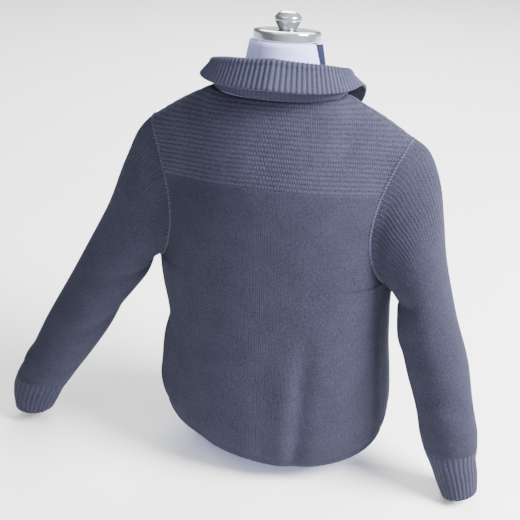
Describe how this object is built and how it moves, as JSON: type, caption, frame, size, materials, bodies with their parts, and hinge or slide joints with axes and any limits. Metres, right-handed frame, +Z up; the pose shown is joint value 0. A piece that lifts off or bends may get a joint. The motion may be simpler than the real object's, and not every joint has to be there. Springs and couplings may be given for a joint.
{
  "type": "zip-up sweater on a dress form",
  "caption": "Chunky knit zip-up sweater with a ribbed roll collar and ribbed cuffs, worn on a limbless dress form that stands on its flat foot.",
  "frame": {"origin": "middle of the dress form's flat underside", "axes": "+Z up, the wearer's front faces -Y, the wearer's left is at +X"},
  "size_m": [0.8791, 0.3079, 0.7967],
  "materials": {
    "knit": "chunky matt knit, slate blue",
    "rib_knit": "matt rib knit, slate blue",
    "zip_tape": "matt woven tape with plastic teeth",
    "nickel": "satin nickel plate",
    "form_cover": "pale stretched jersey cover",
    "chrome": "polished chrome plate"
  },
  "bodies": {
    "sweater_and_form": {"back": "knit", "front_left": "knit", "front_right": "knit", "sleeve_left": "knit", "sleeve_right": "knit", "collar": "rib_knit", "cuff_left": "rib_knit", "cuff_right": "rib_knit", "zip_left": "zip_tape", "zip_right": "zip_tape", "zip_slider": "nickel", "form_torso": "form_cover", "neck_cap": "chrome", "neck_knob": "chrome"},
    "pull_tab": {"zip_pull": "nickel"}
  },
  "joints": [
    {"name": "pull_tab_hinge", "type": "hinge", "parent": "sweater_and_form", "child": "pull_tab", "pos_m": [0, -0.13311, 0.52944], "axis": [-1, 0, 0], "range_deg": [0, 165]}
  ]
}
